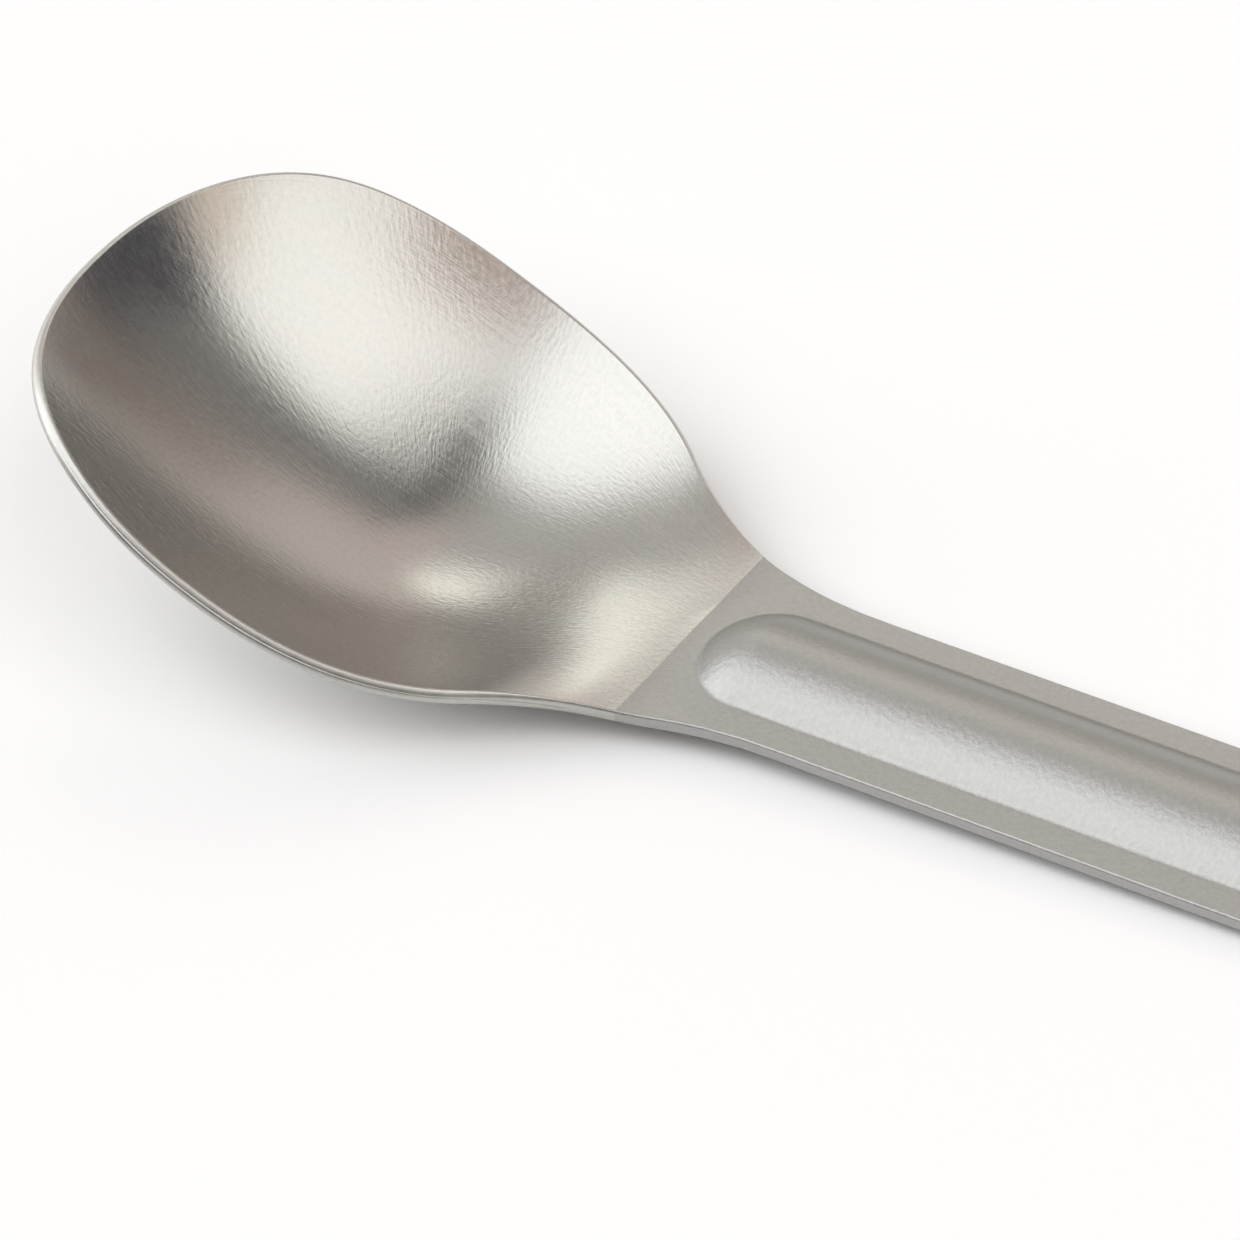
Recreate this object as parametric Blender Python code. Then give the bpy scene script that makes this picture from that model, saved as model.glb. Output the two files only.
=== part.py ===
"""Long-handled spoon, pressed from one blank of titanium sheet.

The blank is cut to its outline, the bowl is pressed down into it and the handle's stiffening rib up,
and a slot is punched in the end of the handle to hang it by. The bowl is polished and the handle is
blasted matt, and the two finishes meet at a straight line across the neck.

Frame: +X runs from the bowl's tip to the end of the handle, +Z is up, and the spoon is its own mirror
image across Y = 0. It lies on its belly and on the underside of its swept handle, both at Z = 0. The
origin is the middle of its footprint. Lengths are in metres.
"""

import math

import bmesh
import bpy
from mathutils import Matrix, Vector

# Outline of the blank, seen from above; stations are counted from the bowl's tip
LENGTH = 0.217
BOWL_WIDTH = 0.038
TIP_TO_WIDEST = 0.0203
WIDEST_TO_BACK = 0.0241
BOWL_SQUARENESS = 2.22
NECK_RADIUS = 0.0322
HANDLE_WIDTH = 0.0145

# The sheet and its tumbled edge
SHEET = 0.001
EDGE_ROUND = 0.0002

# Press of the bowl, which runs out at the line where the polish ends: its depth, and how much steeper
# than a round dish it meets the rim at the tip, at the sides and at the neck, where -1 is level
BOWL_DEPTH = 0.0086
FRONT_WALL_SHARE = 0.75
SIDE_WALL_SHARE = -0.10
BACK_WALL_SHARE = -1.0

# Side line of the rim: a bend up in the neck, a long one in the bowl and one that levels the tip, each
# with its place, its span and the height that it adds as a share of the run, and the gentle sweep that
# lifts the handle from its straight stretch up to the tab at its end
BOWL_TO_NECK_BEND = 0.0056
NECK_BEND_SPAN = 0.0057
NECK_RISE_SHARE = 0.235
BOWL_BEND_INSET = 0.0034
BOWL_BEND_SPAN = 0.0288
BOWL_RISE_SHARE = 0.299
TIP_LEVEL_SPAN = 0.0129
TIP_LEVEL_SHARE = 0.444
POLISH_TO_SWEEP = 0.048
SWEEP_RISE_SHARE = 0.047

# Stiffening rib of the handle, a low roof with a rounded crest and round ends, past the line where the
# polish ends. The flanks climb gently to its creases and its sides add a steeper rise, both as shares
# of the run across.
BOWL_TO_POLISH = 0.0025
POLISH_TO_RIB = 0.0016
RIB_WIDTH = 0.0097
RIB_RISE_SHARE = 0.20
FLANK_RISE_SHARE = 0.08
RIB_CREST = 0.0009
RIB_CREASE = 0.0003

# Hanging slot, concentric with the round end of the handle
SLOT_LENGTH = 0.012
SLOT_WIDTH = 0.006
RIB_TO_SLOT = 0.007

# Fineness of the mesh, in rows along the spoon and columns on each side of its middle
FRONT_ROWS = 16
BACK_ROWS = 16
NECK_ROWS = 9
FLAT_ROWS = 3
HANDLE_ROWS = 14
SLOT_CAP_ROWS = 6
END_ROWS = 16
RIB_COLUMNS = 9
CREASE_COLUMNS = 2
FLANK_COLUMNS = 2
SIDE_COLUMNS = RIB_COLUMNS + CREASE_COLUMNS + FLANK_COLUMNS
EDGE_STEPS = 2
FIT_STEPS = 60
SETTLE_TURNS = 16
SMOOTH_ANGLE = math.radians(60)

# Colour, roughness and metallic value of the two finishes
POLISHED = ((0.60, 0.58, 0.55, 1.0), 0.22, 1.0)
BLASTED = ((0.47, 0.46, 0.44, 1.0), 0.55, 1.0)

# Places that follow from the sizes above
BOWL_HALF = BOWL_WIDTH / 2
HANDLE_HALF = HANDLE_WIDTH / 2
RIB_HALF = RIB_WIDTH / 2
SLOT_HALF = SLOT_WIDTH / 2
END_CENTRE = LENGTH - HANDLE_HALF
SLOT_START = END_CENTRE + SLOT_HALF - SLOT_LENGTH
BOWL_LENGTH = TIP_TO_WIDEST + WIDEST_TO_BACK
NECK_BEND_START = BOWL_LENGTH + BOWL_TO_NECK_BEND
BOWL_BEND_START = BOWL_LENGTH - BOWL_BEND_INSET
POLISH_END = BOWL_LENGTH + BOWL_TO_POLISH
RIB_NEAR_CENTRE = POLISH_END + POLISH_TO_RIB + RIB_HALF
RIB_FAR_CENTRE = SLOT_START - RIB_TO_SLOT - RIB_HALF
SWEEP_START = POLISH_END + POLISH_TO_SWEEP
SWEEP_SPAN = RIB_FAR_CENTRE - SWEEP_START


def ease(share):
    """Goes smoothly from 0 to 1 as the share does."""
    share = min(max(share, 0.0), 1.0)
    return share * share * (3 - 2 * share)


def spread(start, end, count):
    """Evenly spaced places after start, up to and including end."""
    return [start + (end - start) * (i + 1) / count for i in range(count)]


def bowl_half_width(station):
    """Half width of the bowl's own oval, a squared ellipse with a shorter front."""
    reach = TIP_TO_WIDEST if station < TIP_TO_WIDEST else WIDEST_TO_BACK
    along = min(abs(station - TIP_TO_WIDEST) / reach, 1.0)
    return BOWL_HALF * (1 - along ** BOWL_SQUARENESS) ** (1 / BOWL_SQUARENESS)


def neck_fillet():
    """Stations where the neck's arc leaves the bowl and where it meets the straight handle."""
    low, high = 0.0, 1.0
    for _ in range(FIT_STEPS):
        along = (low + high) / 2
        station = TIP_TO_WIDEST + WIDEST_TO_BACK * along
        half = bowl_half_width(station)
        slope_x = along ** (BOWL_SQUARENESS - 1) / WIDEST_TO_BACK
        slope_y = (half / BOWL_HALF) ** (BOWL_SQUARENESS - 1) / BOWL_HALF
        outward = Vector((slope_x, slope_y)).normalized()
        centre = Vector((station, half)) + NECK_RADIUS * outward
        if centre.y > HANDLE_HALF + NECK_RADIUS:
            low = along
        else:
            high = along
    return station, centre.x


NECK_START, NECK_END = neck_fillet()


def half_width(station):
    """Half width of the blank from the bowl's tip to the start of the round end."""
    if station <= NECK_START:
        return bowl_half_width(station)
    from_end = min(station - NECK_END, 0.0)
    return HANDLE_HALF + NECK_RADIUS - math.sqrt(NECK_RADIUS ** 2 - from_end ** 2)


def bend(distance, span):
    """Height of a line that eases from level over the span into one that climbs as much as it runs."""
    share = max(distance / span, 0.0)
    eased = min(share, 1.0)
    return span * (eased ** 3 - eased ** 4 / 2 + share - eased)


def rim_line(station):
    """Height of the rim over the handle's flat, seen from the side."""
    neck = NECK_RISE_SHARE * bend(NECK_BEND_START - station, NECK_BEND_SPAN)
    bowl = BOWL_RISE_SHARE * bend(BOWL_BEND_START - station, BOWL_BEND_SPAN)
    tip = TIP_LEVEL_SHARE * bend(TIP_LEVEL_SPAN - station, TIP_LEVEL_SPAN)
    sweep = SWEEP_RISE_SHARE * bend(station - SWEEP_START, SWEEP_SPAN)
    return neck + bowl - tip + sweep


def soft_floor(value, softness):
    """The value where it is positive and 0 where it is negative, with a rounded crease between."""
    if value >= softness:
        return value
    if value <= -softness:
        return 0.0
    return (value + softness) ** 2 / (4 * softness)


def bowl_press(station, across):
    """Depth of the bowl under the rim line: a round dish, with walls that differ by direction."""
    in_front = station < TIP_TO_WIDEST
    reach = TIP_TO_WIDEST if in_front else POLISH_END - TIP_TO_WIDEST
    end_share = FRONT_WALL_SHARE if in_front else BACK_WALL_SHARE
    along = (abs(station - TIP_TO_WIDEST) / reach) ** BOWL_SQUARENESS
    if along >= 1:
        return 0.0
    aside = min(abs(across) / half_width(station), 1.0) ** BOWL_SQUARENESS
    out = 1 - (1 - along) * (1 - aside)
    out_squared = out ** (2 / BOWL_SQUARENESS)
    towards_end = along / out if out else 0.0
    wall_share = SIDE_WALL_SHARE + towards_end * (end_share - SIDE_WALL_SHARE)
    return BOWL_DEPTH * (1 - out_squared) * (1 + wall_share * out_squared)


def rib_rise(station, across):
    """Height of the handle's rib and flanks, two roofs with one crest that end in round caps."""
    past_cap = max(RIB_NEAR_CENTRE - station, station - RIB_FAR_CENTRE, 0.0)
    out = math.hypot(past_cap, across, RIB_CREST)
    flank = soft_floor(math.hypot(HANDLE_HALF, RIB_CREST) - out, RIB_CREASE)
    side = soft_floor(math.hypot(RIB_HALF, RIB_CREST) - out, RIB_CREASE)
    return FLANK_RISE_SHARE * flank + RIB_RISE_SHARE * side


def top_height(station, across):
    """Height of the pressed sheet's upper face."""
    return rim_line(station) - bowl_press(station, across) + rib_rise(station, across)


def handle_shares():
    """Columns across half of the handle, close together at the rib's crease."""
    inner = (RIB_HALF - RIB_CREASE) / HANDLE_HALF
    outer = (RIB_HALF + RIB_CREASE) / HANDLE_HALF
    shares = [0.0] + spread(0.0, inner, RIB_COLUMNS)
    shares += spread(inner, outer, CREASE_COLUMNS)
    return shares + spread(outer, 1.0, FLANK_COLUMNS)


HANDLE_SHARES = handle_shares()
CAP_DISTANCES = [HANDLE_HALF * share for share in HANDLE_SHARES[:RIB_COLUMNS + CREASE_COLUMNS + 1]]


def column_share(column, station):
    """Where a column lies across the half width: even in the bowl, by the rib on the handle."""
    even = column / SIDE_COLUMNS
    blend = ease((station - NECK_START) / (POLISH_END + POLISH_TO_RIB - NECK_START))
    return even + blend * (HANDLE_SHARES[column] - even)


def front_row(depth):
    """Plan points of one row of the bowl's front, from the widest line, 0, to the front rim, 1."""
    row = []
    for column in range(-SIDE_COLUMNS, SIDE_COLUMNS + 1):
        side = column / SIDE_COLUMNS
        across = side * math.sqrt(1 - depth * depth / 2)
        along = depth * math.sqrt(1 - side * side / 2)
        round_radius = math.hypot(across, along)
        power_sum = abs(across) ** BOWL_SQUARENESS + along ** BOWL_SQUARENESS
        squared = round_radius / power_sum ** (1 / BOWL_SQUARENESS) if round_radius else 1.0
        row.append((TIP_TO_WIDEST * (1 - along * squared), BOWL_HALF * across * squared))
    return row


def body_row(station):
    """Plan points of one straight row across the spoon."""
    half = half_width(station)
    columns = range(-SIDE_COLUMNS, SIDE_COLUMNS + 1)
    return [(station, math.copysign(half * column_share(abs(c), station), c)) for c in columns]


def body_stations():
    """Stations of the rows behind the bowl's widest line, up to the slot."""
    near_cap = [RIB_NEAR_CENTRE - distance for distance in reversed(CAP_DISTANCES)]
    far_cap = [RIB_FAR_CENTRE + distance for distance in CAP_DISTANCES]
    stations = spread(TIP_TO_WIDEST, NECK_START, BACK_ROWS)
    stations += spread(NECK_START, POLISH_END, NECK_ROWS)
    stations += spread(POLISH_END, near_cap[0], FLAT_ROWS) + near_cap[1:]
    stations += spread(RIB_NEAR_CENTRE, RIB_FAR_CENTRE, HANDLE_ROWS)
    return stations + far_cap[1:] + spread(far_cap[-1], SLOT_START, FLAT_ROWS)


def slot_row(station, slot_half, side):
    """Plan points of one row between the slot's edge and the handle's edge, on one side."""
    width = HANDLE_HALF - slot_half
    return [(station, side * (slot_half + width * share)) for share in HANDLE_SHARES]


def slot_rows(side):
    """Rows along one side of the slot, from just past its inner tip to its outer centre."""
    inner_centre = SLOT_START + SLOT_HALF
    rows = []
    for angle in spread(0.0, math.pi / 2, SLOT_CAP_ROWS):
        station = inner_centre - SLOT_HALF * math.cos(angle)
        rows.append(slot_row(station, SLOT_HALF * math.sin(angle), side))
    rows.append(slot_row(END_CENTRE, SLOT_HALF, side))
    return rows


def end_rows():
    """Rows of the round end, fanned about the slot's outer centre from the left side to the right."""
    width = HANDLE_HALF - SLOT_HALF
    radii = [SLOT_HALF + width * share for share in HANDLE_SHARES]
    turns = spread(0.0, math.pi, END_ROWS)[:-1]
    return [[(END_CENTRE + r * math.sin(a), r * math.cos(a)) for r in radii] for a in turns]


def add_row(bm, row):
    """Adds a row of plan points to the mesh, at the height of the pressed sheet."""
    return [bm.verts.new((x, y, top_height(x, y))) for x, y in row]


def bridge_rows(bm, row, next_row):
    """Joins two rows of as many points by four-sided faces."""
    for i in range(len(row) - 1):
        bm.faces.new((row[i], next_row[i], next_row[i + 1], row[i + 1]))


def add_rows(bm, first, rows):
    """Adds rows one after another, each joined to the one before, and returns the last."""
    for row in rows:
        added = add_row(bm, row)
        bridge_rows(bm, first, added)
        first = added
    return first


def add_upper_face(bm):
    """The upper face of the pressed blank, with the slot open in it."""
    first = add_row(bm, front_row(1.0))
    depths = spread(1.0, 0.0, FRONT_ROWS)
    middle = add_rows(bm, first, [front_row(depth) for depth in depths])
    slot_tip = add_rows(bm, middle, [body_row(station) for station in body_stations()])
    left = add_rows(bm, slot_tip[SIDE_COLUMNS:], slot_rows(1))
    right_rows = [row[::-1] for row in slot_rows(-1)]
    right = add_rows(bm, slot_tip[:SIDE_COLUMNS + 1], right_rows)
    last = add_rows(bm, left, end_rows())
    bridge_rows(bm, last, right[::-1])


def open_edges(bm):
    """The open edges of the upper face, each as its two ends in the order that its face runs."""
    bm.normal_update()
    return [(e.link_loops[0].vert, e.link_loops[0].link_loop_next.vert) for e in bm.edges if e.is_boundary]


def edge_profile(vert, outward, normal):
    """Points down the sheet's rounded edge at one vertex, after its upper and before its lower."""
    points = []
    for turn in range(1, EDGE_STEPS + 1):
        angle = math.pi / 2 * turn / EDGE_STEPS
        inset = EDGE_ROUND * (1 - math.sin(angle))
        drop = EDGE_ROUND * (1 - math.cos(angle))
        points.append((inset, drop))
    points += [(inset, SHEET - drop) for inset, drop in reversed(points)]
    return [vert.co - outward * inset - normal * drop for inset, drop in points]


def thicken(bm):
    """Gives the upper face its underside and a rounded edge between the two."""
    edges = open_edges(bm)
    after = dict(edges)
    before = {b: a for a, b in edges}
    outward = {}
    for vert in after:
        along = (after[vert].co - before[vert].co).normalized()
        outward[vert] = along.cross(vert.normal).normalized()
    chains = {v: edge_profile(v, outward[v], v.normal) for v in after}
    for vert in after:
        vert.co -= outward[vert] * EDGE_ROUND
    upper_faces = list(bm.faces)
    twins = {v: bm.verts.new(v.co - SHEET * v.normal) for v in list(bm.verts)}
    for face in upper_faces:
        bm.faces.new([twins[v] for v in reversed(face.verts)])
    rims = {v: [v] + [bm.verts.new(p) for p in chains[v]] + [twins[v]] for v in after}
    for start, end in edges:
        for i in range(len(rims[start]) - 1):
            bm.faces.new((rims[end][i], rims[start][i], rims[start][i + 1], rims[end][i + 1]))


def mark_finishes(bm):
    """Gives the faces of the polished bowl the first material and those of the handle the second."""
    for face in bm.faces:
        face.material_index = int(face.calc_center_median().x > POLISH_END)


def lay_down(bm):
    """Turns the spoon until its belly and the handle's underside touch the ground, and centres it."""
    for _ in range(SETTLE_TURNS):
        belly = min((v.co for v in bm.verts if v.co.x < POLISH_END), key=lambda co: co.z)
        foot = min((v.co for v in bm.verts if v.co.x > POLISH_END), key=lambda co: co.z)
        angle = math.atan2(foot.z - belly.z, foot.x - belly.x)
        turn = Matrix.Rotation(angle, 3, "Y")
        bmesh.ops.rotate(bm, verts=bm.verts, cent=(0, 0, 0), matrix=turn)
    stations = [v.co.x for v in bm.verts]
    ground = min(v.co.z for v in bm.verts)
    middle = (min(stations) + max(stations)) / 2
    bmesh.ops.translate(bm, verts=bm.verts, vec=(-middle, 0, -ground))


def make_finish(name, look):
    """A metal finish from its colour, roughness and metallic value."""
    colour, roughness, metallic = look
    material = bpy.data.materials.new(name)
    material.use_nodes = True
    shader = material.node_tree.nodes["Principled BSDF"]
    shader.inputs["Base Color"].default_value = colour
    shader.inputs["Roughness"].default_value = roughness
    shader.inputs["Metallic"].default_value = metallic
    material.diffuse_color = colour
    return material


def make_spoon():
    """The whole spoon, one pressing with two finishes."""
    bm = bmesh.new()
    add_upper_face(bm)
    thicken(bm)
    mark_finishes(bm)
    lay_down(bm)
    mesh = bpy.data.meshes.new("spoon")
    bm.to_mesh(mesh)
    bm.free()
    mesh.materials.append(make_finish("polished_titanium", POLISHED))
    mesh.materials.append(make_finish("blasted_titanium", BLASTED))
    mesh.shade_smooth()
    mesh.set_sharp_from_angle(angle=SMOOTH_ANGLE)
    spoon = bpy.data.objects.new("spoon", mesh)
    bpy.context.scene.collection.objects.link(spoon)
    return spoon


def clear_scene():
    """Removes the objects that a new file starts with."""
    for item in list(bpy.data.objects):
        bpy.data.objects.remove(item, do_unlink=True)


def main():
    clear_scene()
    make_spoon()


main()
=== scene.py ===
"""Long-handled spoon, dressed: the pressed titanium sheet in fine facets, with its two finishes.

The sheet repeats the form of the solid from the same driving sizes, with a finer net, exact surface
normals, a finer rounded edge and a rounder, higher rib. The bowl is polished, with the marks of its
polishing, and the handle is blasted. The stage is a white table under a dome of soft boxes and grey
cards, and the camera is placed by the middle of the line where the polish ends.
"""

import math
from collections import namedtuple

import bpy
import numpy as np
from bpy.props import FloatProperty, FloatVectorProperty, IntProperty, PointerProperty
from bpy.types import Operator, Panel, PropertyGroup
from mathutils import Matrix, Vector


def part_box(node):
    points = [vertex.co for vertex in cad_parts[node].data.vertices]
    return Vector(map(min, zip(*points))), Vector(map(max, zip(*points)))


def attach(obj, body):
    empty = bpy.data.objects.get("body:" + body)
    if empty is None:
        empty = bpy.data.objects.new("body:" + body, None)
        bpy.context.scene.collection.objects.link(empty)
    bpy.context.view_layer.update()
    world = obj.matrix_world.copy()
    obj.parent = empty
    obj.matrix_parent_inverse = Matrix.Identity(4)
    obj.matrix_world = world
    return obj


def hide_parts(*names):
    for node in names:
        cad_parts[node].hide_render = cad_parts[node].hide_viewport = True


bl_info = {
    "name": "Long-handled Spoon",
    "version": (1, 0, 0),
    "blender": (4, 5, 0),
    "location": "3D View > Sidebar > Spoon",
    "description": "Presses a titanium spoon with a polished bowl and a blasted handle, and lights it",
    "category": "Add Mesh",
}

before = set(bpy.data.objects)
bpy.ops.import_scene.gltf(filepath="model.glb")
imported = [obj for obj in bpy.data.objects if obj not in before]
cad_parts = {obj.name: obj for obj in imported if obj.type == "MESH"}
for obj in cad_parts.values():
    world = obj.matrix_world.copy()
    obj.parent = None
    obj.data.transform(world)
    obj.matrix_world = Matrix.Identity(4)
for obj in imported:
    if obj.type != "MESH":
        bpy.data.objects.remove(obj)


def length(name, description, default):
    """A property that is a length in metres."""
    return FloatProperty(
        name=name, description=description, default=default, precision=5, subtype="DISTANCE", unit="LENGTH"
    )


def share(name, description, default):
    """A property that is a share or a factor."""
    return FloatProperty(name=name, description=description, default=default, precision=3, subtype="FACTOR")


def angle(name, description, degrees):
    """A property that is an angle, given in degrees."""
    return FloatProperty(
        name=name, description=description, default=math.radians(degrees), subtype="ANGLE", unit="ROTATION"
    )


def colour(name, description, default):
    """A property that is a linear colour."""
    return FloatVectorProperty(
        name=name, description=description, default=default, size=3, min=0, max=1, subtype="COLOR"
    )


class SpoonSizes(PropertyGroup):
    """Driving sizes of the pressed sheet; stations are counted from the bowl's tip."""

    blank_length: length("Length", "Blank from the bowl's tip to the end of the handle", 0.217)
    bowl_width: length("Bowl width", "Width between the rim's edges", 0.038)
    tip_to_widest: length("Tip to widest", "From the tip to the bowl's widest line", 0.0203)
    widest_to_back: length("Widest to back", "From the widest line to the back of the bowl's oval", 0.0241)
    bowl_squareness: share("Bowl squareness", "Power of the bowl's squared oval, 2 for an ellipse", 2.22)
    neck_radius: length("Neck radius", "Radius of the arc from the bowl to the handle", 0.0322)
    handle_width: length("Handle width", "Width of the straight handle", 0.0145)
    sheet: length("Sheet", "Thickness of the sheet", 0.001)
    edge_round: length("Edge rounding", "Radius of the tumbled edge", 0.0002)
    bowl_depth: length("Bowl depth", "Press of the bowl under its rim line", 0.0086)
    front_wall: share("Front wall", "How much steeper than a round dish the bowl meets its tip", 0.75)
    side_wall: share("Side wall", "How much steeper than a round dish it meets its sides", -0.10)
    back_wall: share("Back wall", "How much steeper than a round dish it meets the neck", -1.0)
    bowl_to_neck_bend: length("Bowl to neck bend", "From the oval's back to the neck's bend", 0.0056)
    neck_bend_span: length("Neck bend span", "Run over which the neck bends up", 0.0057)
    neck_rise: share("Neck rise", "Slope that the neck's bend adds", 0.235)
    bowl_bend_inset: length("Bowl bend inset", "From the bowl's long bend to the oval's back", 0.0034)
    bowl_bend_span: length("Bowl bend span", "Run of the bowl's long bend", 0.0288)
    bowl_rise: share("Bowl rise", "Slope that the bowl's bend adds", 0.299)
    tip_level_span: length("Tip level span", "Run over which the tip levels out", 0.0129)
    tip_level: share("Tip level", "Slope that the tip's bend takes away", 0.444)
    polish_to_sweep: length("Polish line to sweep", "From the polish line to the handle's sweep", 0.048)
    sweep_rise: share("Sweep rise", "Slope that the handle's sweep adds", 0.047)
    bowl_to_polish: length("Bowl to polish line", "From the oval's back to the end of the polish", 0.0025)
    polish_to_rib: length("Polish line to rib", "From the polish line to the rib's end", 0.0016)
    rib_width: length("Rib width", "Width of the stiffening rib", 0.0097)
    rib_height: length("Rib height", "Height of the rib's arch over its creases", 0.00205)
    flank_slope: share("Flank slope", "Rise of the flanks towards the rib as a share of the run", 0.05)
    rib_crease: length("Rib crease", "Half width of the rounded crease at the rib's foot", 0.00025)
    slot_length: length("Slot length", "Length of the hanging slot", 0.012)
    slot_width: length("Slot width", "Width of the hanging slot", 0.006)
    rib_to_slot: length("Rib to slot", "Flat tab between the rib and the slot", 0.007)
    facet: length("Facet", "Size of the net's facets where the sheet curves", 0.00035)
    straight_facet: length("Straight facet", "Length of the facets along the straight handle", 0.0025)
    edge_steps: IntProperty(name="Edge steps", description="Facets round each edge's quarter", default=7)


class SpoonRest(PropertyGroup):
    """How the spoon lies, found when the sheet is pressed."""

    turn: angle("Turn", "Turn about Y from the handle's plane to the table", 0)
    shift: FloatVectorProperty(
        name="Shift", description="Move to the middle of its footprint", size=3, subtype="XYZ", unit="LENGTH"
    )


class TitaniumLook(PropertyGroup):
    """Colours and marks of the two finishes."""

    polished: colour("Polished", "Colour of the polished bowl", (0.506, 0.502, 0.474))
    polished_warm: colour("Polished, warm", "Colour of the bowl where it is warmer", (0.520, 0.505, 0.477))
    polished_dull: colour("Polished, dull", "Colour of the bowl in its marks", (0.475, 0.470, 0.444))
    blasted: colour("Blasted", "Colour of the blasted handle", (0.442, 0.438, 0.424))
    blasted_dull: colour("Blasted, dull", "Colour of the handle in its coarser pits", (0.400, 0.396, 0.383))
    polished_roughness: share("Polished roughness", "Roughness of the bowl", 0.24)
    blasted_roughness: share("Blasted roughness", "Roughness of the handle", 0.42)
    roughness_spread: share("Roughness spread", "How far the roughness strays between marks and metal", 0.12)
    tint_size: length("Tint size", "Size of the warmer patches in the bowl", 0.0035)
    peel_size: length("Peel size", "Wave length of the orange peel in the bowl", 0.00036)
    peel_height: length("Peel height", "Height of the orange peel", 0.000008)
    stroke_length: length("Stroke length", "Length of the marks that polishing left in the bowl", 0.0007)
    stroke_width: length("Stroke width", "Width of those marks", 0.00022)
    stroke_height: length("Stroke height", "Height of those marks", 0.000012)
    hair_length: length("Hair length", "Length of the fine hairlines in the bowl", 0.009)
    hair_width: length("Hair width", "Width of the hairlines", 0.00014)
    hair_height: length("Hair height", "Height of the hairlines", 0.000004)
    grain_size: length("Grain size", "Wave length of the blasted grain", 0.00016)
    grain_height: length("Grain height", "Height of the blasted grain", 0.000012)
    pit_size: length("Pit size", "Size of the coarser pits on the handle", 0.0004)
    pit_height: length("Pit height", "Height of the coarser pits", 0.000034)


class StudioLook(PropertyGroup):
    """The table, the strength of the dome and the camera."""

    table: colour("Table", "Colour of the table", (0.974, 0.98, 0.99))
    table_radius: length("Table radius", "Radius of the round table top", 4.0)
    dome_strength: share("Dome strength", "Strength of the dome of soft boxes", 1.23)
    azimuth: angle("Azimuth", "Turn of the camera round the spoon", 39.517)
    elevation: angle("Elevation", "Height of the camera over the handle's plane", 39.764)
    roll: angle("Roll", "Turn of the camera about its own axis", -7.964)
    lens: FloatProperty(name="Lens", description="Focal length of the camera", default=290.32, unit="CAMERA")
    distance: length("Distance", "From the camera to the middle of the polish line", 0.66975)
    aim_right: length("Aim right", "Middle of the polish line right of the picture's middle", 0.004702)
    aim_down: length("Aim down", "Middle of the polish line below the picture's middle", 0.001001)


# Rounds of the search for the neck's arc, and turns in which the spoon comes to rest.
FIT_STEPS = 60
SETTLE_TURNS = 16

# The step over which a slope is measured, and the least that some values may be.
PROBE = 2e-6

# Shares of the columns across half of the handle, and of a facet at the rib's round ends.
CREASE_COLUMN_SHARE = 0.2
FLANK_COLUMN_SHARE = 0.14
CAP_FACET_SHARE = 0.7


def ease(value):
    """Goes smoothly from 0 to 1 as the value does."""
    value = np.clip(value, 0, 1)
    return value * value * (3 - 2 * value)


def bend(distance, span):
    """Height of a line that eases from level over the span into one that climbs as much as it runs."""
    run = np.maximum(distance / span, 0)
    eased = np.minimum(run, 1)
    return span * (eased**3 - eased**4 / 2 + run - eased)


def soft_floor(value, softness):
    """The value where it is positive and 0 where it is negative, with a rounded crease between."""
    rounded = (value + softness) ** 2 / (4 * softness)
    return np.where(value >= softness, value, np.where(value <= -softness, 0, rounded))


def unit(vectors):
    """Vectors of length 1 along the last axis."""
    return vectors / np.linalg.norm(vectors, axis=-1, keepdims=True)


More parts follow.
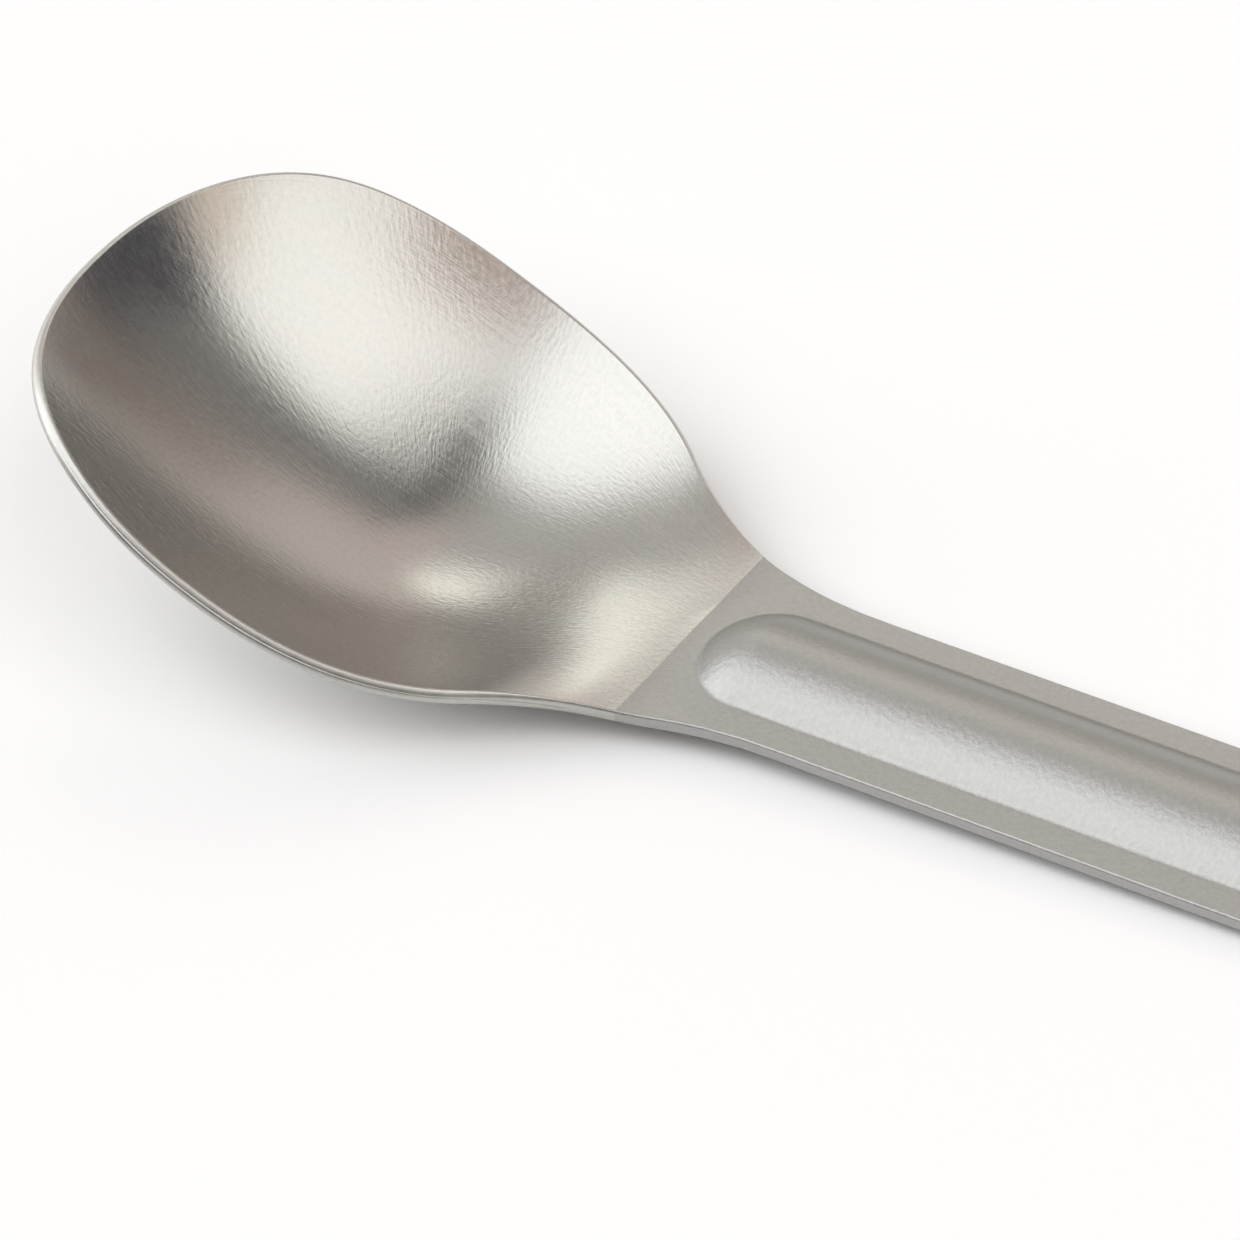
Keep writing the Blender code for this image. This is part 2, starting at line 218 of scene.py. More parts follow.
class Pressing:
    """The pressed sheet's form, worked out from its sizes."""

    def __init__(self, sizes):
        for name in SpoonSizes.__annotations__:
            setattr(self, name, getattr(sizes, name))
        self.bowl_half = self.bowl_width / 2
        self.handle_half = self.handle_width / 2
        self.rib_half = self.rib_width / 2
        self.slot_half = self.slot_width / 2
        self.bowl_length = self.tip_to_widest + self.widest_to_back
        self.end_centre = self.blank_length - self.handle_half
        self.slot_start = self.end_centre + self.slot_half - self.slot_length
        self.polish_end = self.bowl_length + self.bowl_to_polish
        self.near_centre = self.polish_end + self.polish_to_rib + self.rib_half
        self.far_centre = self.slot_start - self.rib_to_slot - self.rib_half
        self.neck_start, self.neck_end = self.neck_fillet()

    def along(self, station, back_reach):
        """How far a station lies from the bowl's widest line, where the tip and the back's reach are 1."""
        reach = np.where(station < self.tip_to_widest, self.tip_to_widest, back_reach)
        return np.minimum(abs(station - self.tip_to_widest) / reach, 1)

    def oval_half_width(self, station):
        """Half width of the bowl's squared oval."""
        along = self.along(station, self.widest_to_back)
        return self.bowl_half * (1 - along**self.bowl_squareness) ** (1 / self.bowl_squareness)

    def neck_fillet(self):
        """Stations where the neck's arc leaves the bowl and where it meets the straight handle."""
        low, high = 0.0, 1.0
        for _ in range(FIT_STEPS):
            along = (low + high) / 2
            station = self.tip_to_widest + self.widest_to_back * along
            half = float(self.oval_half_width(station))
            slope_x = along ** (self.bowl_squareness - 1) / self.widest_to_back
            slope_y = (half / self.bowl_half) ** (self.bowl_squareness - 1) / self.bowl_half
            centre = Vector((station, half)) + self.neck_radius * Vector((slope_x, slope_y)).normalized()
            if centre.y > self.handle_half + self.neck_radius:
                low = along
            else:
                high = along
        return station, centre.x

    def half_width(self, station):
        """Half width of the blank from the bowl's tip to the start of the round end."""
        from_end = np.clip(station - self.neck_end, -self.neck_radius, 0)
        neck = self.handle_half + self.neck_radius - np.sqrt(self.neck_radius**2 - from_end**2)
        return np.where(station <= self.neck_start, self.oval_half_width(station), neck)

    def net_half_width(self, station):
        """Half width of the net, which stops where the rounding of the edge starts."""
        slope = (self.half_width(station + PROBE) - self.half_width(station - PROBE)) / (2 * PROBE)
        return self.half_width(station) - self.edge_round * math.sqrt(1 + slope**2)

    def rim_round(self, station):
        """How far the edge's rounding reaches down the sheet: half of it round the bowl."""
        blend = ease((station - self.bowl_length) / (2 * self.bowl_to_polish))
        return self.sheet / 2 + blend * (self.edge_round - self.sheet / 2)

    def rim_line(self, station):
        """Height of the rim over the handle's plane, seen from the side."""
        neck_from = self.bowl_length + self.bowl_to_neck_bend
        bowl_from = self.bowl_length - self.bowl_bend_inset
        sweep_from = self.polish_end + self.polish_to_sweep
        neck = self.neck_rise * bend(neck_from - station, self.neck_bend_span)
        bowl = self.bowl_rise * bend(bowl_from - station, self.bowl_bend_span)
        tip = self.tip_level * bend(self.tip_level_span - station, self.tip_level_span)
        return neck + bowl - tip + self.sweep_rise * bend(station - sweep_from, self.far_centre - sweep_from)

    def bowl_press(self, station, across):
        """Depth of the bowl under the rim line: a round dish, with walls that differ by direction."""
        end_wall = np.where(station < self.tip_to_widest, self.front_wall, self.back_wall)
        along = self.along(station, self.polish_end - self.tip_to_widest) ** self.bowl_squareness
        half = np.maximum(self.half_width(station), PROBE)
        aside = np.minimum(abs(across) / half, 1) ** self.bowl_squareness
        out = 1 - (1 - along) * (1 - aside)
        out_squared = out ** (2 / self.bowl_squareness)
        wall = self.side_wall + along / np.maximum(out, PROBE) * (end_wall - self.side_wall)
        return self.bowl_depth * (1 - out_squared) * (1 + wall * out_squared)

    def rib_rise(self, station, across):
        """Height of the handle's rib, an arch that ends in round caps, and of the flanks beside it."""
        past_cap = np.maximum(np.maximum(self.near_centre - station, station - self.far_centre), 0)
        out = np.hypot(past_cap, across)
        flank = soft_floor(self.handle_half - out, self.rib_crease)
        inside = soft_floor(self.rib_half - out, self.rib_crease)
        fullness = 1 - (out / self.rib_half) ** 2
        arch = soft_floor(fullness, 2 * self.rib_crease / self.rib_half)
        return self.flank_slope * (flank - inside) + self.rib_height * arch

    def surface(self, plan):
        """Points of the upper face over plan points."""
        station, across = plan[:, 0], plan[:, 1]
        pressed = self.rib_rise(station, across) - self.bowl_press(station, across)
        return np.column_stack((plan, self.rim_line(station) + pressed))

    def normals(self, plan):
        """Normals of the upper face over plan points."""
        ahead, aside = np.array((PROBE, 0)), np.array((0, PROBE))
        along = self.surface(plan + ahead) - self.surface(plan - ahead)
        across = self.surface(plan + aside) - self.surface(plan - aside)
        return unit(np.cross(along, across))


class Net:
    """Rows of plan points and the four-sided facets between them."""

    def __init__(self):
        self.points = []
        self.facets = []

    def add_row(self, row):
        """Adds a row of points and returns their numbers."""
        start = len(self.points)
        self.points.extend(row)
        return list(range(start, len(self.points)))

    def bridge(self, row, next_row):
        """Joins two rows of as many points."""
        self.facets.extend(zip(row, next_row, next_row[1:], row[1:]))

    def add_rows(self, first, rows):
        """Adds rows one after another, each joined to the one before, and returns the last."""
        for row in rows:
            added = self.add_row(row)
            self.bridge(first, added)
            first = added
        return first

    def open_edges(self):
        """The open edges, each as its two ends in the order that its facet runs."""
        sides = {side for facet in self.facets for side in zip(facet, facet[1:] + facet[:1])}
        return sorted((a, b) for a, b in sides if (b, a) not in sides)


def spread(start, end, facet):
    """Evenly spaced places after start, up to and including end, about a facet apart."""
    count = max(1, round(abs(end - start) / facet))
    return list(start + (end - start) * np.arange(1, count + 1) / count)


def handle_shares(form, columns):
    """Columns across half of the handle, close together at the rib's crease."""
    width = form.handle_half - form.edge_round
    inner, outer = (form.rib_half - form.rib_crease) / width, (form.rib_half + form.rib_crease) / width
    in_crease = round(columns * CREASE_COLUMN_SHARE)
    in_flank = round(columns * FLANK_COLUMN_SHARE)
    in_rib = columns - in_crease - in_flank
    shares = np.linspace(0, inner, in_rib, endpoint=False)
    shares = np.append(shares, np.linspace(inner, outer, in_crease, endpoint=False))
    return np.append(shares, np.linspace(outer, 1, in_flank + 1))


def front_rows(form, columns):
    """Rows of the bowl's front, from the front rim to the widest line."""
    side = np.linspace(-1, 1, 2 * columns + 1)
    rows = []
    for depth in np.append(1.0, spread(1.0, 0.0, form.facet / form.tip_to_widest)):
        across = side * math.sqrt(1 - depth**2 / 2)
        along = depth * np.sqrt(1 - side**2 / 2)
        power_sum = abs(across) ** form.bowl_squareness + along**form.bowl_squareness
        squared = np.hypot(across, along) / np.maximum(power_sum, PROBE**2) ** (1 / form.bowl_squareness)
        station = form.tip_to_widest - (form.tip_to_widest - form.edge_round) * along * squared
        rows.append(list(zip(station, (form.bowl_half - form.edge_round) * across * squared)))
    return rows


def body_stations(form):
    """Stations of the rows behind the bowl's widest line, up to the slot."""
    facet = form.facet
    fine = facet * CAP_FACET_SHARE
    cap = form.rib_half + form.rib_crease
    stations = spread(form.tip_to_widest, form.neck_start, facet)
    stations += spread(form.neck_start, form.polish_end, facet)
    stations += spread(form.polish_end, form.near_centre, fine)
    stations += spread(form.near_centre, form.far_centre, form.straight_facet)
    stations += spread(form.far_centre, form.far_centre + cap, fine)
    return stations + spread(form.far_centre + cap, form.slot_start - form.edge_round, facet)


def body_rows(form, columns, shares):
    """Straight rows across the spoon, even in the bowl and by the rib on the handle."""
    even = np.arange(columns + 1) / columns
    rows = []
    for station in body_stations(form):
        blend = ease((station - form.neck_start) / (form.near_centre - form.rib_half - form.neck_start))
        half = form.net_half_width(station) * (even + blend * (shares - even))
        across = np.append(-half[:0:-1], half)
        rows.append([(station, y) for y in across])
    return rows


def slot_rows(form, shares, side):
    """Rows along one side of the slot, from just past its inner tip to its outer centre."""
    inner_centre = form.slot_start + form.slot_half
    reach = form.slot_half + form.edge_round
    outer = form.handle_half - form.edge_round
    rows = []
    for turn in spread(0, math.pi / 2, form.facet / reach):
        start = reach * math.sin(turn)
        station = inner_centre - reach * math.cos(turn)
        rows.append([(station, side * y) for y in start + (outer - start) * shares])
    for station in spread(inner_centre, form.end_centre, form.facet):
        rows.append([(station, side * y) for y in reach + (outer - reach) * shares])
    return rows


def end_rows(form, shares):
    """Rows of the round end, fanned about the slot's outer centre from one side to the other."""
    reach = form.slot_half + form.edge_round
    radii = reach + (form.handle_half - form.edge_round - reach) * shares
    turns = spread(0, math.pi, form.facet / form.handle_half)[:-1]
    return [[(form.end_centre + r * math.sin(a), r * math.cos(a)) for r in radii] for a in turns]


def make_net(form):
    """The net of the whole upper face, with the slot open in it."""
    columns = round(form.bowl_half / form.facet)
    shares = handle_shares(form, columns)
    front = front_rows(form, columns)
    net = Net()
    first = net.add_row(front[0])
    middle = net.add_rows(first, front[1:])
    slot_tip = net.add_rows(middle, body_rows(form, columns, shares))
    left = net.add_rows(slot_tip[columns:], slot_rows(form, shares, 1))
    right = net.add_rows(slot_tip[: columns + 1], [row[::-1] for row in slot_rows(form, shares, -1)])
    last = net.add_rows(left, end_rows(form, shares))
    net.bridge(last, right[::-1])
    return net


def edge_turns(steps):
    """At each level of the edge, its normal's turn from a face's, and if that is the lower face's."""
    quarter = [math.pi / 2 * step / steps for step in range(1, steps + 1)]
    return [(turn, False) for turn in quarter] + [(turn, True) for turn in reversed(quarter)]


def thick_sheet(form):
    """Points, normals, blank places and facets of the closed sheet, with its rounded edge."""
    net = make_net(form)
    plan = np.array(net.points)
    top, normal = form.surface(plan), form.normals(plan)
    edges = net.open_edges()
    after = dict(edges)
    before = {end: start for start, end in edges}
    rim = np.array(sorted(after))
    along = unit(top[[after[v] for v in rim]] - top[[before[v] for v in rim]])
    outward = unit(np.cross(along, normal[rim]))
    points, normals = [top, top - form.sheet * normal], [normal, -normal]
    flat = np.zeros((len(plan), 1))
    blanks = [np.hstack((plan, flat)), np.hstack((plan, flat - form.sheet))]
    down = form.rim_round(plan[rim, :1])
    for turn, is_lower in edge_turns(form.edge_steps):
        drop = down * (1 - math.cos(turn))
        drop = form.sheet - drop if is_lower else drop
        side = -1 if is_lower else 1
        out = form.edge_round * math.sin(turn)
        points.append(top[rim] + outward * out - normal[rim] * drop)
        up_share, out_share = side * math.cos(turn) / down, math.sin(turn) / form.edge_round
        normals.append(unit(up_share * normal[rim] + out_share * outward))
        blanks.append(np.hstack((plan[rim] + outward[:, :2] * out, -drop)))
    count = len(top)
    facets = net.facets + [tuple(v + count for v in reversed(facet)) for facet in net.facets]
    level_starts = [2 * count + level * len(rim) for level in range(2 * form.edge_steps)]
    rings = {v: [v, *(start + i for start in level_starts), v + count] for i, v in enumerate(rim)}
    for start, end in edges:
        a, b = rings[start], rings[end]
        facets += zip(b, a, a[1:], b[1:])
    return np.concatenate(points), np.concatenate(normals), np.concatenate(blanks), facets


def settle(form, points, normals):
    """Turns the spoon until its belly and its far foot touch the table and centres it on its footprint."""
    total = 0.0
    in_bowl = points[:, 0] < form.polish_end
    for _ in range(SETTLE_TURNS):
        belly = points[in_bowl][points[in_bowl][:, 2].argmin()]
        foot = points[~in_bowl][points[~in_bowl][:, 2].argmin()]
        turn = math.atan2(foot[2] - belly[2], foot[0] - belly[0])
        total += turn
        spin = np.array(Matrix.Rotation(turn, 3, "Y"))
        points, normals = points @ spin.T, normals @ spin.T
    shift = np.array((-(points[:, 0].min() + points[:, 0].max()) / 2, 0, -points[:, 2].min()))
    return points + shift, normals, total, shift


# The mesh carries two places for each point. BLANK is its place on the flat blank: station, distance
# across and height over the upper face. LIE is the same, but stretched across as if the blank were as
# wide as the bowl all along, so that marks drawn along it follow the rim.
BLANK = "blank"
LIE = "lie"

# The noises of the finishes stray about their middle. A start and an end are levels of a noise, or of
# several noises added up, between which one colour gives way to another. A detail is how many octaves a
# noise has, and the grain's roughness is how strong its finer octaves are.
NOISE_MIDDLE = 0.5
TINT_START, TINT_END = 0.35, 0.65
TINT_STRETCH = 3
TINT_DETAIL = 4.0
DULL_START, DULL_END = 1.75, 1.15
PIT_START, PIT_END = 1.3, 0.75
PIT_DETAIL = 3.0
GRAIN_ROUGHNESS = 0.6

# The marks of the polishing follow the rim, but on one side of a place deep in the bowl they run straight
# away from it. SWIRL_AWAY points to that side, towards the tip and +Y. The starts and ends are distances
# that way from the centre. The radius is where the marks that run away are as wide as the other ones.
SWIRL_CENTRE = (0.027, -0.003)
SWIRL_AWAY = (-0.8, 0.6)
SWIRL_START, SWIRL_END = 0.003, 0.010
SWIRL_RADIUS = 0.015

# Stations between which the marks calm down towards the neck, to a share of their height. The grain of
# the blasting is full on the sheet's edge, and the bowl's faces have a share of it.
NECK_CALM_START, NECK_CALM_END = 0.032, 0.045
NECK_MARKS_SHARE = 0.25
BOWL_GRAIN_SHARE = 0.1

# The Mix node has a set of sockets for each kind of data. These are the ones for colours.
MIX_FIRST, MIX_SECOND, MIX_RESULT = 6, 7, 2


class Socket:
    """A node's output as a number or a vector in an expression, which adds the Math nodes it needs."""

    def __init__(self, tree, output):
        self.tree = tree
        self.output = output

    def math(self, operation, *values):
        """A Math node on this value and others."""
        return self.tree.add("ShaderNodeMath", {"operation": operation}, dict(enumerate((self, *values))))

    def math_on(self, operation, number):
        """A Math node on a number and this value."""
        return self.tree.add("ShaderNodeMath", {"operation": operation}, {0: number, 1: self})

    def __add__(self, other):
        return self.math("ADD", other)

    def __sub__(self, other):
        return self.math("SUBTRACT", other)

    def __mul__(self, other):
        return self.math("MULTIPLY", other)

    def __truediv__(self, other):
        return self.math("DIVIDE", other)

    def __pow__(self, other):
        return self.math("POWER", other)

    def __radd__(self, other):
        return self.math_on("ADD", other)

    def __rsub__(self, other):
        return self.math_on("SUBTRACT", other)

    def __rmul__(self, other):
        return self.math_on("MULTIPLY", other)

    def __rtruediv__(self, other):
        return self.math_on("DIVIDE", other)

    def __rpow__(self, other):
        return self.math_on("POWER", other)

    def __abs__(self):
        return self.math("ABSOLUTE")

    def smooth(self, start, end):
        """Goes smoothly from 0 to 1 as this value goes from start to end, which may be lower."""
        (low, at_low), (high, at_high) = sorted(((start, 0), (end, 1)))
        sockets = {"Value": self, "From Min": low, "From Max": high, "To Min": at_low, "To Max": at_high}
        return self.tree.add("ShaderNodeMapRange", {"interpolation_type": "SMOOTHSTEP"}, sockets, "Result")


class Tree:
    """A node tree that is being written."""

    def __init__(self, owner):
        owner.use_nodes = True
        self.tree = owner.node_tree
        self.tree.nodes.clear()

    def node(self, kind, settings, sockets):
        """Adds any node: its settings first, then the values or links of its sockets."""
        node = self.tree.nodes.new(kind)
        for name, value in settings.items():
            setattr(node, name, value)
        for key, value in sockets.items():
            if isinstance(value, Socket):
                self.tree.links.new(value.output, node.inputs[key])
            else:
                node.inputs[key].default_value = value
        return node

    def add(self, kind, settings, sockets, output=0):
        """Adds any node and returns one of its outputs for use in expressions."""
        return Socket(self, self.node(kind, settings, sockets).outputs[output])

    def mix(self, factor, first, second, label=""):
        """A colour between two others."""
        sockets = {0: factor, MIX_FIRST: rgba(first), MIX_SECOND: rgba(second)}
        return self.add("ShaderNodeMix", {"data_type": "RGBA", "label": label}, sockets, MIX_RESULT)

    def attribute(self, name):
        """A vector that the mesh carries."""
        return self.add("ShaderNodeAttribute", {"attribute_name": name}, {}, "Vector")

    def parts(self, vector):
        """The three parts of a vector."""
        node = self.node("ShaderNodeSeparateXYZ", {}, {0: vector})
        return [Socket(self, output) for output in node.outputs]

    def vector(self, x, y, z):
        """A vector from its three parts."""
        return self.add("ShaderNodeCombineXYZ", {}, {0: x, 1: y, 2: z})

    def noise(self, vector, size, detail=2.0, roughness=0.5):
        """Noise with features of a size in metres."""
        sockets = {"Vector": vector, "Scale": 1 / size, "Detail": detail, "Roughness": roughness}
        return self.add("ShaderNodeTexNoise", {}, sockets)

    def bump(self, height):
        """A normal bent by a height in metres."""
        return self.add("ShaderNodeBump", {}, {"Strength": 1.0, "Distance": 1.0, "Height": height})

    def surface(self, sockets):
        """A Principled shader, led to the material's output."""
        shader = self.add("ShaderNodeBsdfPrincipled", {}, sockets)
        self.node("ShaderNodeOutputMaterial", {}, {"Surface": shader})


def rgba(value):
    """A colour with its alpha, from its three parts, or a socket as it is."""
    return value if isinstance(value, Socket) else (*value, 1)


def edge_mask(height, sizes):
    """1 on the sheet's edge and 0 on its two faces, from the height over the upper face."""
    under_top = height.smooth(0, -sizes.edge_round / 2)
    return under_top * height.smooth(-sizes.sheet, sizes.edge_round / 2 - sizes.sheet)


def drawn_out(tree, along, aside, long, wide, detail=2.0):
    """Noise with features that are long one way and wide the other."""
    return tree.noise(tree.vector(along / long, aside / wide, 0), 1.0, detail)


def polishing_marks(tree, look, station, across, beside):
    """The marks of the polishing, which follow the rim or run away from the centre of the swirl."""
    strokes = drawn_out(tree, station, beside, look.stroke_length, look.stroke_width)
    from_x, from_y = station - SWIRL_CENTRE[0], across - SWIRL_CENTRE[1]
    around = from_y.math("ARCTAN2", from_x) * SWIRL_RADIUS
    reach = (from_x * from_x + from_y * from_y + PROBE**2) ** 0.5
    swirl = drawn_out(tree, reach, around, look.stroke_length, look.stroke_width)
    in_swirl = (from_x * SWIRL_AWAY[0] + from_y * SWIRL_AWAY[1]).smooth(SWIRL_START, SWIRL_END)
    return strokes + in_swirl * (swirl - strokes)


def polished_titanium(look, sizes):
    """The bowl's finish: bright metal with orange peel, short marks of its polishing and hairlines."""
    material = bpy.data.materials.new("polished_titanium")
    tree = Tree(material)
    blank = tree.attribute(BLANK)
    station, across, over_top = tree.parts(blank)
    beside = tree.parts(tree.attribute(LIE))[1]
    edge = edge_mask(over_top, sizes)
    marks = polishing_marks(tree, look, station, across, beside)
    hairs = drawn_out(tree, station, beside, look.hair_length, look.hair_width)
    peel = tree.noise(blank, look.peel_size)
    grain = tree.noise(blank, look.grain_size)
    grain_share = 1 - (1 - edge) * (1 - BOWL_GRAIN_SHARE)
    marks_share = 1 - station.smooth(NECK_CALM_START, NECK_CALM_END) * (1 - NECK_MARKS_SHARE)
    height = (
        (peel - NOISE_MIDDLE) * look.peel_height
        + (marks - NOISE_MIDDLE) * marks_share * look.stroke_height
        + (hairs - NOISE_MIDDLE) * look.hair_height
        + grain_share * (grain - NOISE_MIDDLE) * look.grain_height
    )
    tint = drawn_out(tree, station, beside, look.tint_size * TINT_STRETCH, look.tint_size, TINT_DETAIL)
    colour = tree.mix(tint.smooth(TINT_START, TINT_END), look.polished, look.polished_warm)
    dull = (marks + hairs + peel).smooth(DULL_START, DULL_END)
    roughness = look.polished_roughness + (hairs + marks + edge - 2 * NOISE_MIDDLE) * look.roughness_spread
    tree.surface({
        "Base Color": tree.mix(dull, colour, look.polished_dull),
        "Metallic": 1.0,
        "Roughness": roughness,
        "Normal": tree.bump(height),
    })
    return material


def blasted_titanium(look):
    """The handle's finish: matt metal with a fine grain and coarser pits."""
    material = bpy.data.materials.new("blasted_titanium")
    tree = Tree(material)
    blank = tree.attribute(BLANK)
    grain = tree.noise(blank, look.grain_size, roughness=GRAIN_ROUGHNESS)
    pits = tree.noise(blank, look.pit_size, PIT_DETAIL)
    height = (grain - NOISE_MIDDLE) * look.grain_height + (pits - NOISE_MIDDLE) * look.pit_height
    tree.surface({
        "Base Color": tree.mix((grain + pits).smooth(PIT_START, PIT_END), look.blasted, look.blasted_dull),
        "Metallic": 1.0,
        "Roughness": look.blasted_roughness + (grain - NOISE_MIDDLE) * look.roughness_spread,
        "Normal": tree.bump(height),
    })
    return material


Card = namedtuple("Card", "name lean half turn squareness softness radiance")

# Soft boxes and grey cards of the dome, each laid over the ones before it. A lean is how far a card's
# middle lies from straight up, towards +X and towards +Y, a half is its half sizes and a turn is its turn
# about its middle, all in degrees. Squareness is the power of its outline, 2 for an oval, and softness is
# the share of its half sizes over which its edge fades to either side. The strength of the dome
# multiplies every radiance.
DOME_GREY = (0.40, 0.385, 0.37)
CARDS = (
    Card("pale_wall", (-3, 68), (34, 33), 0, 4, 0.3, (0.70, 0.635, 0.59)),
    Card("back_wall", (-42, 84), (29, 18), -6, 4, 0.35, (0.27, 0.27, 0.24)),
    Card("taupe_wall", (39, 66), (24, 32), 20, 3, 0.4, (0.275, 0.235, 0.215)),
    Card("beige_screen", (-38, 42.5), (24, 5.5), 0, 3, 0.45, (1.66, 1.64, 1.52)),
    Card("grey_screen", (-36, 21), (26, 13), 0, 4, 0.3, (0.56, 0.54, 0.52)),
    Card("rose_screen", (-1, 36), (13, 14), 0, 3, 0.6, (0.69, 0.59, 0.56)),
    Card("left_box", (-31, -23), (36, 26), -20, 5, 0.25, (1.58, 1.60, 1.62)),
    Card("right_box", (34, -14), (23, 30), -21, 5, 0.25, (1.50, 1.49, 1.46)),
    Card("warm_edge", (58, -6), (10, 15), 10, 3, 0.5, (0.95, 0.82, 0.70)),
    Card("flag", (58, 34), (18, 26), 15, 3, 0.4, (0.065, 0.065, 0.08)),
    Card("slant_flag", (28, 33), (24, 10), 32, 3, 0.5, (0.24, 0.23, 0.225)),
    Card("gap_flag", (9, 4), (8, 22), -6, 3, 0.5, (0.11, 0.105, 0.105)),
    Card("warm_spot", (18, -37), (16, 9), 8, 2, 0.5, (0.40, 0.25, 0.19)),
    Card("west_window", (-66, -18), (10, 20), 0, 4, 0.3, (2.6, 2.62, 2.65)),
    Card("west_low", (-88, 30), (16, 50), 0, 4, 0.3, (1.5, 1.48, 1.42)),
    Card("north_low", (-30, 95), (42, 13), 0, 4, 0.25, (1.2, 1.18, 1.12)),
    Card("camera_side", (0, -102), (120, 48), 0, 4, 0.15, (0.06, 0.06, 0.06)),
)


def studio_dome(look):
    """The world: soft boxes and cards laid out by direction on a grey dome."""
    world = bpy.data.worlds.new("studio_dome")
    tree = Tree(world)
    direction = tree.add("ShaderNodeTexCoord", {}, {}, "Generated")
    x, y, z = tree.parts(direction)
    flat = (x * x + y * y + PROBE) ** 0.5
    lean = z.math("ARCCOSINE") * math.degrees(1) / flat
    east, north = x * lean, y * lean
    light = DOME_GREY
    for card in CARDS:
        turn = math.radians(card.turn)
        from_x, from_y = east - card.lean[0], north - card.lean[1]
        along = abs(from_x * math.cos(turn) + from_y * math.sin(turn)) / card.half[0]
        aside = abs(from_y * math.cos(turn) - from_x * math.sin(turn)) / card.half[1]
        out = (along**card.squareness + aside**card.squareness) ** (1 / card.squareness)
        inside = out.smooth(1 + card.softness, 1 - card.softness)
        light = tree.mix(inside, light, card.radiance, card.name)
    background = tree.add("ShaderNodeBackground", {}, {"Color": light, "Strength": look.dome_strength})
    tree.node("ShaderNodeOutputWorld", {}, {"Surface": background})
    return world


def table_top(look):
    """The table's finish: matt white paper."""
    material = bpy.data.materials.new("white_table")
    tree = Tree(material)
    tree.surface({"Base Color": rgba(look.table), "Roughness": 1.0, "Specular IOR Level": 0.0})
    return material


def carry_places(mesh, form, blanks):
    """Gives the mesh the places of its points on the flat blank."""
    half = np.maximum(form.half_width(blanks[:, 0]), form.edge_round)
    lies = np.column_stack((blanks[:, 0], blanks[:, 1] / half * form.bowl_half, blanks[:, 2]))
    for name, places in ((BLANK, blanks), (LIE, lies)):
        attribute = mesh.attributes.new(name, "FLOAT_VECTOR", "POINT")
        attribute.data.foreach_set("vector", places.astype(np.float32).ravel())


SIZE_TOLERANCE = 0.0005
TABLE_SIDES = 96
TABLE_GAP = 0.00002
SENSOR_WIDTH = 36.0
CLIP_SHARE = 0.1


class SPOON_OT_sheet(Operator):
    """Presses the titanium sheet and gives it its two finishes"""

    bl_idname = "spoon.sheet"
    bl_label = "Pressed Sheet"

    def execute(self, context):
        scene = context.scene
        form = Pressing(scene.spoon_sizes)
        points, normals, blanks, facets = thick_sheet(form)
        points, normals, turn, shift = settle(form, points, normals)
        self.check_size(points)
        scene.spoon_rest.turn = turn
        scene.spoon_rest.shift = shift
        mesh = bpy.data.meshes.new("pressed_sheet")
        mesh.from_pydata(points, [], facets)
        carry_places(mesh, form, blanks)
        middles = [sum(blanks[v, 0] for v in facet) / len(facet) for facet in facets]
        finishes = [int(middle > form.polish_end) for middle in middles]
        mesh.polygons.foreach_set("material_index", finishes)
        mesh.materials.append(polished_titanium(scene.titanium_look, scene.spoon_sizes))
        mesh.materials.append(blasted_titanium(scene.titanium_look))
        mesh.shade_smooth()
        mesh.normals_split_custom_set_from_vertices(normals)
        if mesh.validate():
            raise RuntimeError("The pressed sheet has faulty facets.")
        sheet = bpy.data.objects.new("pressed_sheet", mesh)
        scene.collection.objects.link(sheet)
        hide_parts("spoon")
        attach(sheet, "root")
        return {"FINISHED"}

    @staticmethod
    def check_size(points):
        """Stops the script if the sheet isn't as large as the solid that it stands for."""
        corners = np.array((points.min(axis=0), points.max(axis=0)))
        solid_corners = np.array([tuple(corner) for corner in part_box("spoon")])
        if abs(corners - solid_corners).max() > SIZE_TOLERANCE:
            raise RuntimeError("The pressed sheet isn't the size of the solid spoon.")


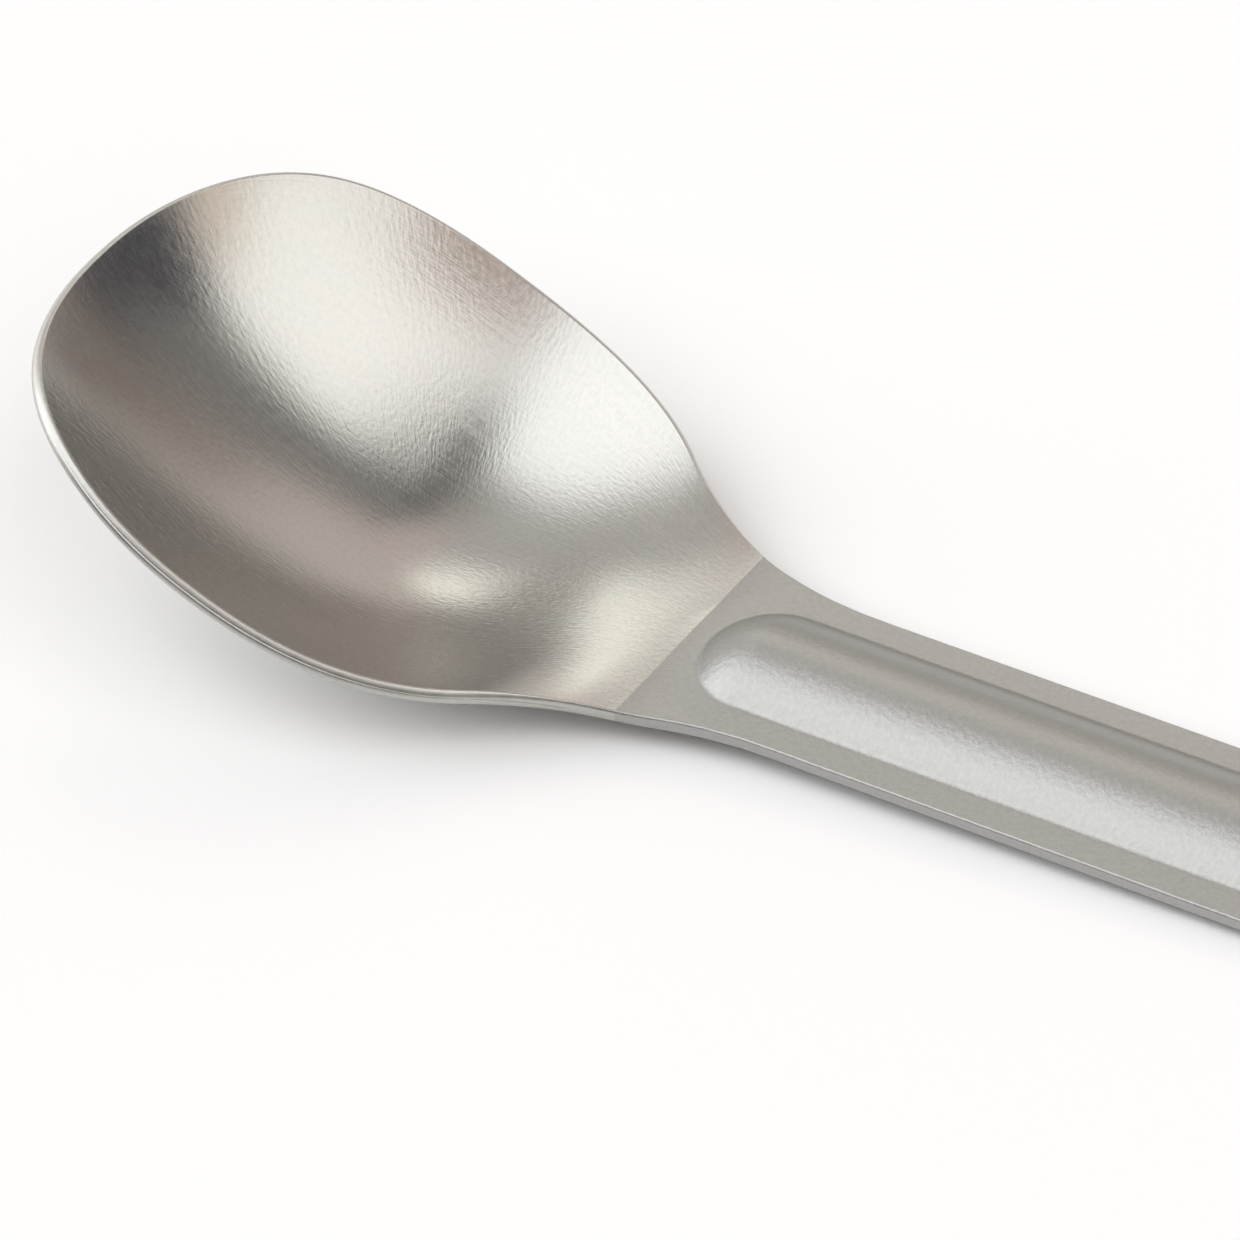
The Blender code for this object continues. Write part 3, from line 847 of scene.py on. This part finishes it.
class SPOON_OT_stage(Operator):
    """Lays the white table, hangs the dome of soft boxes and sets up the camera"""

    bl_idname = "spoon.stage"
    bl_label = "Studio Stage"

    def execute(self, context):
        scene = context.scene
        look = scene.studio_look
        bpy.ops.mesh.primitive_circle_add(
            vertices=TABLE_SIDES, radius=look.table_radius, fill_type="TRIFAN", location=(0, 0, -TABLE_GAP)
        )
        table = context.object
        table.name = "white_table"
        table.data.materials.append(table_top(look))
        scene.world = studio_dome(look)
        scene.view_settings.view_transform = "Standard"
        self.add_camera(scene, look)
        return {"FINISHED"}

    def add_camera(self, scene, look):
        """The camera, aimed by the middle of the polish line."""
        rest = scene.spoon_rest
        form = Pressing(scene.spoon_sizes)
        spin = Matrix.Rotation(rest.turn, 3, "Y")
        target = spin @ Vector((form.polish_end, 0, 0)) + Vector(rest.shift)
        forward = Vector((
            -math.sin(look.azimuth) * math.cos(look.elevation),
            math.cos(look.azimuth) * math.cos(look.elevation),
            -math.sin(look.elevation),
        ))
        level = Vector((math.cos(look.azimuth), math.sin(look.azimuth), 0))
        plumb = forward.cross(level)
        right = math.cos(look.roll) * level - math.sin(look.roll) * plumb
        down = math.sin(look.roll) * level + math.cos(look.roll) * plumb
        forward, right, down = spin @ forward, spin @ right, spin @ down
        data = bpy.data.cameras.new("camera")
        data.lens = look.lens
        data.sensor_width = SENSOR_WIDTH
        data.clip_start = look.distance * CLIP_SHARE
        camera = bpy.data.objects.new("camera", data)
        axes = Matrix((right, -down, -forward)).transposed().to_4x4()
        place = target - look.aim_right * right - look.aim_down * down - look.distance * forward
        camera.matrix_world = Matrix.Translation(place) @ axes
        scene.collection.objects.link(camera)
        scene.camera = camera


class SPOON_PT_panel(Panel):
    """Lists the spoon's piece and its stage"""

    bl_idname = "SPOON_PT_panel"
    bl_label = "Long-handled Spoon"
    bl_space_type = "VIEW_3D"
    bl_region_type = "UI"
    bl_category = "Spoon"

    def draw(self, context):
        scene = context.scene
        for group in (scene.spoon_sizes, scene.titanium_look, scene.studio_look):
            box = self.layout.box()
            for name in group.__annotations__:
                box.prop(group, name)
        for operator in (SPOON_OT_sheet, SPOON_OT_stage):
            self.layout.operator(operator.bl_idname)


GROUPS = {
    "spoon_sizes": SpoonSizes,
    "spoon_rest": SpoonRest,
    "titanium_look": TitaniumLook,
    "studio_look": StudioLook,
}
CLASSES = (*GROUPS.values(), SPOON_OT_sheet, SPOON_OT_stage, SPOON_PT_panel)


def register():
    for each in CLASSES:
        bpy.utils.register_class(each)
    for name, group in GROUPS.items():
        setattr(bpy.types.Scene, name, PointerProperty(type=group))


def unregister():
    for name in GROUPS:
        delattr(bpy.types.Scene, name)
    for each in reversed(CLASSES):
        bpy.utils.unregister_class(each)


def main():
    register()
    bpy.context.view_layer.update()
    bpy.ops.spoon.sheet()
    bpy.ops.spoon.stage()


if __name__ == "__main__":
    main()
